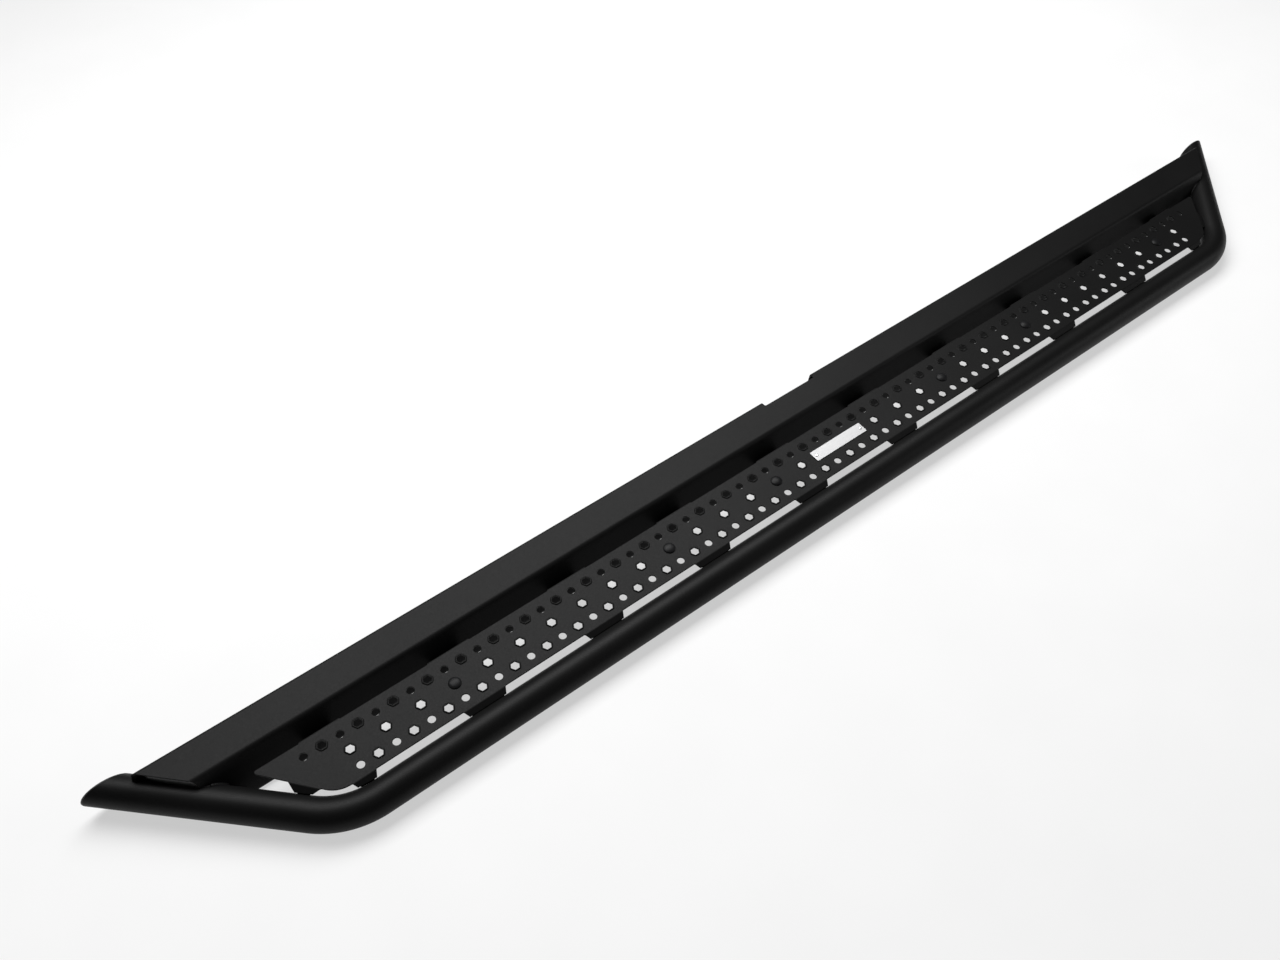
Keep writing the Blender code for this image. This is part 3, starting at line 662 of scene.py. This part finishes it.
def tube_path(side):
    """Centres and directions from the middle of the board to the bend's far end."""
    tangent = TUBE_BEND_RADIUS * math.tan(TUBE_BEND_ANGLE / 2)
    start_x = TUBE_CORNER_X - tangent
    inward = Vector((0, math.cos(TUBE_DROP), -math.sin(TUBE_DROP)))
    stations = []
    for i in range(BEND_STEPS + 1):
        angle = TUBE_BEND_ANGLE * i / BEND_STEPS
        centre = Vector((start_x + TUBE_BEND_RADIUS * math.sin(angle), TUBE_Y, TUBE_Z))
        centre += inward * TUBE_BEND_RADIUS * (1 - math.cos(angle))
        direction = Vector((math.cos(angle), 0, 0)) + inward * math.sin(angle)
        stations.append((Vector((side * centre.x, centre.y, centre.z)),
                         Vector((side * direction.x, direction.y, direction.z))))
    return stations


def tube_ring(centre, direction, radius, end_y=None):
    """A ring square to the tube, or slid along it to the plane y = end_y."""
    across = PLANE_NORMAL.cross(direction)
    if direction.x < 0:
        across = -across
    ring = []
    for i in range(TUBE_SIDES):
        angle = 2 * math.pi * i / TUBE_SIDES
        point = centre + (across * math.cos(angle) + PLANE_NORMAL * math.sin(angle)) * radius
        if end_y is not None:
            point += direction * (end_y - point.y) / direction.y
        ring.append(point)
    return ring


def make_tube():
    bm = bmesh.new()
    layers = []
    for radius in (TUBE_RADIUS, TUBE_RADIUS - TUBE_WALL):
        right_run, left_run = tube_path(1), tube_path(-1)
        rings = [tube_ring(*left_run[-1], radius, TUBE_END_Y)]
        rings += [tube_ring(*station, radius) for station in [*left_run[::-1], *right_run]]
        rings.append(tube_ring(*right_run[-1], radius, TUBE_END_Y))
        layers.append(loft(bm, rings, close_ends=False))
    for end in (0, -1):
        outer, inner = layers[0][end], layers[1][end]
        for i in range(TUBE_SIDES):
            j = (i + 1) % TUBE_SIDES
            bm.faces.new((outer[i], outer[j], inner[j], inner[i]))
    add_piece("outer_tube_fine", bm, TUBE_COAT, ["outer_tube"], 40)


def make_plug(name, side):
    """A cup in the tube's end, with a thin raised rim round its flat face."""
    centre, direction = tube_path(side)[-1]
    bore = TUBE_RADIUS - TUBE_WALL - GAP
    seat = TUBE_END_Y + GAP
    flange = [(0.0, 0.0), (0.0, 1.1), (0.25, 1.65), (0.75, 1.95), (1.3, 2.0), (2.2, 1.95),
              (2.6, 1.7), (2.8, 1.5)]
    profile = [(bore - PLUG_WALL, seat - PLUG_WALL), (bore - PLUG_WALL, seat - PLUG_DEPTH),
               (bore, seat - PLUG_DEPTH), (bore, seat)]
    profile += [(TUBE_RADIUS - inset * MM, seat + out * MM) for inset, out in flange]
    bm = bmesh.new()
    loft(bm, [tube_ring(centre, direction, radius, y) for radius, y in profile])
    add_piece(f"{name}_moulded", bm, PLUG_PLASTIC, [name], 40)


def make_screw(name, side):
    """Hexagon flange screw with a chamfered, dished head."""
    centre, direction = tube_path(side)[-1]
    start = centre + direction * (SCREW_Y - centre.y) / direction.y
    flank = direction.cross(PLANE_NORMAL) * -side
    outward = flank * math.cos(SCREW_ELEVATION) + PLANE_NORMAL * math.sin(SCREW_ELEVATION)
    seat = TUBE_RADIUS + 0.1 * MM
    sides = TURNED_SIDES
    rings = [circle(2.5 * MM, seat - 12 * MM, sides), circle(2.5 * MM, seat, sides),
             circle(4.9 * MM, seat, sides), circle(5.0 * MM, seat + 0.3 * MM, sides),
             circle(4.85 * MM, seat + 0.7 * MM, sides), circle(4.3 * MM, seat + 1.2 * MM, sides)]
    top = seat + 5.4 * MM
    flat_radius = 3.6 * MM
    corner = 4.3 * MM
    walls = [hexagon_point(2 * math.pi * i / sides, corner, 1.0) for i in range(sides)]
    rings.append([(x, y, seat + 1.45 * MM) for x, y in walls])
    rings.append([(x, y, top - (math.hypot(x, y) - flat_radius) * 0.6) for x, y in walls])
    rings += [circle(flat_radius, top, sides), circle(2.9 * MM, top, sides),
              circle(2.3 * MM, top - 0.5 * MM, sides)]
    bm = bmesh.new()
    turned(bm, start, outward, rings)
    add_piece(f"{name}_head", bm, ZINC, [name], 28)


# Rear channel: a strip in x and s, rolled round the section. s runs from the seam in the
# rear window up, over the top to the front, down the web and back along the bottom.

class Section:
    """The channel's outer outline in y and z, with the distance s and the normal of each point."""

    def __init__(self):
        rear_slope = ((CHANNEL_REAR_TOP_Y - CHANNEL_REAR_BOTTOM_Y)
                      / (CHANNEL_TOP_Z - CHANNEL_BOTTOM_Z))

        def rear_y(z):
            return CHANNEL_REAR_TOP_Y + rear_slope * (z - CHANNEL_TOP_Z)

        def web_y(z):
            return WEB_Y + WEB_SLOPE * z

        top, bottom = CHANNEL_TOP_Z, CHANNEL_BOTTOM_Z
        corners = [(rear_y(top), top), (web_y(top), top), (web_y(bottom), bottom),
                   (rear_y(bottom), bottom)]
        self.points = [Vector((rear_y(SEAM_Z), SEAM_Z))]
        self.folds = []
        for i, radius in enumerate(CHANNEL_BENDS):
            arc = fillet(corners[i - 1], corners[i], corners[(i + 1) % 4], radius, FOLD_STEPS)
            self.folds.append((len(self.points), len(self.points) + FOLD_STEPS))
            self.points += [Vector(point) for point in arc]
        self.points.append(self.points[0].copy())
        self.s = [0.0]
        for a, b in zip(self.points, self.points[1:]):
            self.s.append(self.s[-1] + (b - a).length)
        self.length = self.s[-1]
        self.normals = []
        directions = [(b - a).normalized() for a, b in zip(self.points, self.points[1:])]
        for before, after in zip([directions[0], *directions], [*directions, directions[-1]]):
            mean = (before + after).normalized()
            self.normals.append(Vector((-mean.y, mean.x)) * -1)

    def at(self, s, depth=0.0):
        """Point of the section at s, moved in by depth."""
        i = min(max(int(np.searchsorted(self.s, s)) - 1, 0), len(self.s) - 2)
        share = (s - self.s[i]) / (self.s[i + 1] - self.s[i])
        point = self.points[i].lerp(self.points[i + 1], share)
        inner = [self.points[k] - self.normals[k] * SHEET * self.spread(k) for k in (i, i + 1)]
        return point.lerp(inner[0].lerp(inner[1], share), depth / SHEET)

    def spread(self, k):
        """Stretch of the mitre at a corner of the polygon that stands for an arc."""
        if k in (0, len(self.points) - 1):
            return 1.0
        a = (self.points[k] - self.points[k - 1]).normalized()
        b = (self.points[k + 1] - self.points[k]).normalized()
        return 1 / math.cos(a.angle(b) / 2)

    def s_at(self, start, axis, value):
        """s on the straight that starts at a point, where y or z has the value."""
        a, b = self.points[start], self.points[start + 1]
        return self.s[start] + (b - a).length * (value - a[axis]) / (b[axis] - a[axis])


def channel_end(section, s):
    """Half length of the channel at s: the raked end, the cope for the tube or the lip."""
    y, z = section.at(s)
    end = CHANNEL_END_X + y - CHANNEL_END_RAKE * z
    centre, direction = tube_path(1)[-1]
    away = Vector((y - centre.y, z - centre.z))
    along = away.dot(Vector((direction.y, direction.z)))
    a = 1 - direction.x ** 2
    b = direction.x * along
    c = away.length_squared - along ** 2 - (TUBE_RADIUS + COPE_CLEARANCE) ** 2
    inside = b * b - a * c
    if inside > 0:
        end = min(end, centre.x + (b - math.sqrt(inside)) / a)
    if s >= section.s[section.folds[3][0]]:
        end = min(end, LIP_END_X - LIP_END_RAKE * (z - CHANNEL_BOTTOM_Z))
    return end


def make_channel(section):
    creases_s = [section.s[k] for first, last in section.folds for k in range(first, last + 1)]
    upper = section.s_at(0, 1, WINDOW_HIGH_Z)
    lower = section.s_at(section.folds[3][1], 1, WINDOW_LOW_Z)
    notch = section.s_at(section.folds[0][1], 0, NOTCH_Y)
    notch_below = section.s_at(section.folds[2][1], 0, NOTCH_Y)
    full = section.length
    # The end is followed point by point, at the folds and every 2.5 mm between them
    samples = sorted({*creases_s, *np.arange(upper + 2 * MM, lower - MM, 2.5 * MM)})
    samples = [s for s in samples
               if s in creases_s or all(abs(s - c) > 0.6 * MM for c in creases_s)]
    ends = [upper, *samples, lower]

    # +x half, counter-clockwise: notch and post by the upper lip, the end, then back below
    half = [(0.0, notch)]
    half += fillet((0, notch), (NOTCH_HALF_WIDTH, notch), (NOTCH_HALF_WIDTH, 0), CUT_CORNER,
                   CUT_STEPS)
    half += [(NOTCH_HALF_WIDTH, s) for s in reversed(creases_s) if s < notch]
    half += [(NOTCH_HALF_WIDTH, 0.0), (WINDOW_START_X, 0.0)]
    half += fillet((WINDOW_START_X, 0), (WINDOW_START_X, upper), (1, upper), CUT_CORNER,
                   CUT_STEPS)
    half += [(channel_end(section, s), s) for s in ends]
    half += fillet((1, lower), (WINDOW_START_X, lower), (WINDOW_START_X, full), CUT_CORNER,
                   CUT_STEPS)
    half += [(WINDOW_START_X, full), (NOTCH_HALF_WIDTH, full)]
    half += [(NOTCH_HALF_WIDTH, s) for s in reversed(creases_s) if s > notch_below]
    half += fillet((NOTCH_HALF_WIDTH, full), (NOTCH_HALF_WIDTH, notch_below), (0, notch_below),
                   CUT_CORNER, CUT_STEPS)
    half.append((0.0, notch_below))
    outline = half + [(-x, s) for x, s in reversed(half[1:-1])]

    numbers = {}
    for i, (x, s) in enumerate(outline):
        numbers.setdefault(round(s, 7), []).append((x, i))
    creases = []
    for s in creases_s:
        row = sorted(numbers[round(s, 7)])
        creases += [(row[i][1], row[i + 1][1]) for i in range(0, len(row), 2)]

    def pinned(point):
        return point[1] in (0.0, full)

    bottom_start = section.folds[2][1]

    def slot(x, y, length):
        radius = SLOT_WIDTH / 2
        reach = length / 2 - radius
        s = section.s_at(bottom_start, 0, y)
        loop = []
        for end, turn in ((reach, -math.pi / 2), (-reach, math.pi / 2)):
            for i in range(SLOT_STEPS + 1):
                angle = turn + math.pi * i / SLOT_STEPS
                loop.append((x + end + radius * math.cos(angle), s + radius * math.sin(angle)))
        return cut_edge(loop[::-1], SHEET, 0.3 * MM)

    edges = [cut_edge(outline, SHEET, pinned=pinned)]
    for side in (-1, 1):
        for k in range(SLOTS_PER_SIDE):
            edges.append(slot(side * (SLOT_FRONT_START_X + k * SLOT_PITCH), SLOT_ROW_FRONT_Y,
                              SLOT_LENGTH))
            edges.append(slot(side * (SLOT_REAR_START_X + k * SLOT_PITCH), SLOT_ROW_REAR_Y,
                              SLOT_LENGTH))
        edges.append(slot(side * SHORT_SLOT_X, SLOT_ROW_REAR_Y, SHORT_SLOT_LENGTH))
    edges.append(slot(0.0, SLOT_ROW_FRONT_Y, CENTRE_SLOT_LENGTH))

    bm = formed_sheet(edges, creases, lambda x, s, depth: (x, s, depth))
    joins = [face for face in bm.faces
             if all(v.co.y < 1e-7 for v in face.verts)
             or all(v.co.y > full - 1e-7 for v in face.verts)]
    bmesh.ops.delete(bm, geom=joins, context="FACES_ONLY")
    for vert in bm.verts:
        y, z = section.at(vert.co.y, vert.co.z)
        vert.co = (vert.co.x, y, z)
    bmesh.ops.remove_doubles(bm, verts=bm.verts, dist=1e-6)
    add_piece("rear_channel_folded", bm, CHANNEL_COAT, ["rear_channel"])


# Bolts and nuts of the step plate

def make_bolt(name, x):
    """Carriage bolt: a low smooth head seated on the plate, and a plain shank."""
    sides = TURNED_SIDES
    shank = BOLT_SHANK_RADIUS
    dome = [(8.7, 0.05), (8.75, 0.35), (8.6, 0.75), (8.1, 1.25), (7.2, 1.8), (5.9, 2.35),
            (4.2, 2.8), (2.2, 3.05), (0.7, 3.1)]
    rings = [circle(shank - 0.8 * MM, -BOLT_LENGTH, sides),
             circle(shank, -BOLT_LENGTH + 0.8 * MM, sides), circle(shank, GAP, sides)]
    rings += [circle(radius * MM, GAP + height * MM, sides) for radius, height in dome]
    bm = bmesh.new()
    turned(bm, Vector((x, ROW_MIDDLE_Y, 0)), Vector((0, 0, 1)), rings)
    add_piece(f"{name}_head", bm, BOLT_BLACK, [name], 40)


def make_nut(name, x):
    """Hexagon nut with rounded corners on both faces."""
    sides = TURNED_SIDES
    seat = -SHEET - GAP
    bore = BOLT_SHANK_RADIUS + 2 * GAP
    hexagon = [hexagon_point(2 * math.pi * i / sides, NUT_RADIUS, 1.0) for i in range(sides)]
    flat_radius = NUT_RADIUS * math.cos(math.pi / 6) - 0.2 * MM

    def wall(z, sign):
        return [(px, py, z - sign * max(math.hypot(px, py) - flat_radius, 0) * 0.55)
                for px, py in hexagon]

    rings = [circle(bore, seat, sides), circle(flat_radius, seat, sides), wall(seat, 1),
             wall(seat - NUT_HEIGHT, -1), circle(flat_radius, seat - NUT_HEIGHT, sides),
             circle(bore + 0.6 * MM, seat - NUT_HEIGHT, sides),
             circle(bore, seat - NUT_HEIGHT + 0.6 * MM, sides)]
    rings = [[(x + px, ROW_MIDDLE_Y + py, z) for px, py, z in ring] for ring in rings]
    bm = bmesh.new()
    layers = loft(bm, rings, close_ends=False)
    for i in range(sides):
        j = (i + 1) % sides
        bm.faces.new((layers[-1][i], layers[-1][j], layers[0][j], layers[0][i]))
    add_piece(f"{name}_hexagon", bm, BOLT_BLACK, [name], 28)


# Badge and rivets

def make_badge():
    """Blank badge with a hole for each rivet."""
    half_x, half_y = BADGE_LENGTH / 2, BADGE_WIDTH / 2
    top = GAP + BADGE_THICKNESS
    corners = [(-half_x, -half_y), (half_x, -half_y), (half_x, half_y), (-half_x, half_y)]
    holes = [polygon((x, 0), RIVET_RADIUS + GAP, RIVET_HOLE_SIDES)[::-1] for x in (-RIVET_X, RIVET_X)]
    edges = [cut_edge(rounded(corners, BADGE_CORNER), BADGE_THICKNESS, 0.2 * MM)]
    edges += [cut_edge(hole, BADGE_THICKNESS, 0.05 * MM) for hole in holes]
    bm = formed_sheet(edges, [], lambda x, y, depth: (x, BADGE_Y + y, top - depth))
    add_piece("badge_plate_blank", bm, BRUSHED, ["badge_plate"])


def make_rivet(name, x):
    """Blind rivet: domed head with the broken pin in a small pit."""
    seat = GAP + BADGE_THICKNESS + 0.05 * MM
    dome = [(2.6, 0.0), (2.6, 0.15), (2.4, 0.5), (2.0, 0.82), (1.5, 1.02), (1.05, 1.1),
            (0.9, 1.05), (0.85, 0.7), (0.4, 0.72)]
    rings = [circle(RIVET_RADIUS, -SHEET - 2 * MM, RIVET_SIDES),
             circle(RIVET_RADIUS, seat, RIVET_SIDES)]
    rings += [circle(radius * MM, seat + height * MM, RIVET_SIDES) for radius, height in dome]
    bm = bmesh.new()
    turned(bm, Vector((x, BADGE_Y, 0)), Vector((0, 0, 1)), rings)
    add_piece(f"{name}_head", bm, ZINC, [name], 40)


# Weld beads

def add_bead(name, path, radius):
    """A rippled bead along a path of points, tapered at its ends."""
    points = [Vector(point) for point in path]
    lengths = [0.0]
    for a, b in zip(points, points[1:]):
        lengths.append(lengths[-1] + (b - a).length)
    total = lengths[-1]
    count = max(int(total / (BEAD_RIPPLE / 5)), 8)
    rings = []
    for k in range(count + 1):
        s = total * k / count
        i = min(max(int(np.searchsorted(lengths, s)) - 1, 0), len(points) - 2)
        share = (s - lengths[i]) / (lengths[i + 1] - lengths[i])
        centre = points[i].lerp(points[i + 1], share)
        direction = (points[i + 1] - points[i]).normalized()
        side = direction.cross(Vector((0, 0, 1))).normalized()
        upward = side.cross(direction)
        end = min(s, total - s) / (1.5 * radius)
        size = radius * math.sqrt(max(1 - (1 - min(end, 1)) ** 2, 0.06))
        phase = (s / BEAD_RIPPLE) % 1.0
        size *= 1 + 0.13 * (math.sqrt(1 - (2 * phase - 1) ** 2) - 0.6)
        rings.append([centre + side * x + upward * y * BEAD_FLATNESS
                      for x, y in polygon((0, 0), size, BEAD_SIDES)])
    bm = bmesh.new()
    loft(bm, rings)
    add_piece(name, bm, TUBE_COAT)


def add_welds(tabs, section):
    for k, tab in enumerate(tabs):
        a, b = tab.tip()
        trim = (b - a).normalized() * TAB_BEAD_TRIM
        add_bead(f"weld_tab_{k + 1}", [a + trim, b - trim], TAB_BEAD_RADIUS)
    web_start = section.folds[1][1]
    for word, side in (("left", -1), ("right", 1)):
        for k, (high, low) in enumerate(CHANNEL_BEAD_HEIGHTS):
            path = []
            for z in np.linspace(high, low, 9):
                s = section.s_at(web_start, 1, z)
                x = side * (channel_end(section, s) + CHANNEL_BEAD_OUT)
                path.append((x, section.at(s).x - CHANNEL_BEAD_FORWARD, z))
            add_bead(f"weld_channel_{word}_{k + 1}", path, CHANNEL_BEAD_RADIUS)


# Assembly

section = Section()
front_tabs, side_tab, rear_tabs = plate_tabs()
all_tabs = make_step_plate(front_tabs, side_tab, rear_tabs)
make_tube()
make_channel(section)
for word, side in (("left", -1), ("right", 1)):
    make_plug(f"end_cap_{word}", side)
    make_screw(f"cap_screw_{word}", side)
    make_rivet(f"badge_rivet_{word}", side * RIVET_X)
for k, step in enumerate(BOLT_STEPS):
    make_bolt(f"plate_bolt_{k + 1}", step * PITCH)
    make_nut(f"plate_nut_{k + 1}", step * PITCH)
make_badge()
add_welds(all_tabs, section)


# Floor and light

FLOOR_REACH = 12.0
FLOOR_DROP = 0.5 * MM
FLOOR_GLOW = 0.56               # lifts the paper to white and keeps the shadows faint


def add_floor():
    mesh = bpy.data.meshes.new("floor")
    corners = [(-FLOOR_REACH, -FLOOR_REACH, 0), (FLOOR_REACH, -FLOOR_REACH, 0),
               (FLOOR_REACH, FLOOR_REACH, 0), (-FLOOR_REACH, FLOOR_REACH, 0)]
    mesh.from_pydata(corners, [], [(0, 1, 2, 3)])
    floor = bpy.data.objects.new("floor", mesh)
    bpy.context.collection.objects.link(floor)
    material, tree, shader = new_material("floor_paper")
    place = tree.nodes.new("ShaderNodeTexCoord")
    paper = noise(tree, place, 6.0, 3.0)
    tree.links.new(ramped(tree, paper, (0.33, 0.33, 0.33), (0.345, 0.345, 0.345)),
                   shader.inputs["Base Color"])
    shader.inputs["Roughness"].default_value = 0.9
    shader.inputs["Specular IOR Level"].default_value = 0.0
    shader.inputs["Emission Color"].default_value = (1.0, 1.0, 1.0, 1.0)
    shader.inputs["Emission Strength"].default_value = FLOOR_GLOW
    mesh.materials.append(material)
    floor.location.z = -FLOOR_DROP


def add_light(name, place, target, size, power):
    data = bpy.data.lights.new(name, "AREA")
    data.shape = "RECTANGLE"
    data.size, data.size_y = size
    data.energy = power
    light = bpy.data.objects.new(name, data)
    bpy.context.collection.objects.link(light)
    light.location = place
    aim = Vector(target) - Vector(place)
    light.rotation_mode = "QUATERNION"
    light.rotation_quaternion = aim.to_track_quat("-Z", "Y")


add_floor()
add_light("overhead", (0.1, 1.1, 2.3), (0.1, 0.0, 0.0), (3.2, 1.5), 122.0)
add_light("fill", (2.6, -1.8, 1.0), (0.8, 0.0, 0.0), (1.4, 0.9), 14.0)

world = bpy.data.worlds.new("studio")
world.use_nodes = True
world.node_tree.nodes["Background"].inputs["Color"].default_value = (1.0, 1.0, 1.0, 1.0)
world.node_tree.nodes["Background"].inputs["Strength"].default_value = 0.04
bpy.context.scene.world = world
bpy.context.scene.view_settings.view_transform = "Standard"
